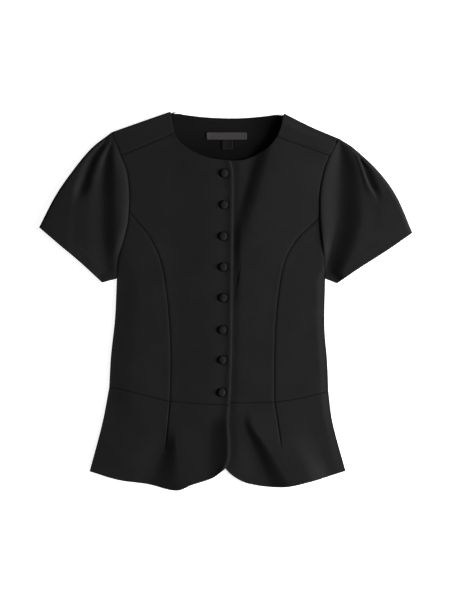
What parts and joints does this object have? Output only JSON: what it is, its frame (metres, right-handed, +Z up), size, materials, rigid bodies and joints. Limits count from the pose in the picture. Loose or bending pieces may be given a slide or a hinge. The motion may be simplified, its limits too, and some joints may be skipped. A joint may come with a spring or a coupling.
{
  "type": "short-sleeved peplum jacket",
  "caption": "Black collarless short-sleeved jacket with princess seams, covered buttons and a flared peplum, laid flat with its front up.",
  "frame": {"origin": "middle of the bounding box, at the surface that the jacket lies on", "axes": "+X to the wearer's left, +Y from the hem to the neck, +Z up from the surface"},
  "size_m": [0.6152, 0.6239, 0.0168],
  "materials": {
    "cloth": "matt black textured double jersey",
    "button_cloth": "the same cloth drawn over a dome",
    "label": "charcoal woven satin"
  },
  "bodies": {
    "root": {"back_bodice": "cloth", "back_peplum": "cloth", "front_center_right": "cloth", "front_center_left": "cloth", "front_side_right": "cloth", "front_side_left": "cloth", "front_peplum_right": "cloth", "front_peplum_left": "cloth", "sleeve_right": "cloth", "sleeve_left": "cloth", "button_1": "button_cloth", "button_2": "button_cloth", "button_3": "button_cloth", "button_4": "button_cloth", "button_5": "button_cloth", "button_6": "button_cloth", "button_7": "button_cloth", "button_8": "button_cloth", "neck_label": "label", "size_tab": "label"}
  },
  "joints": []
}
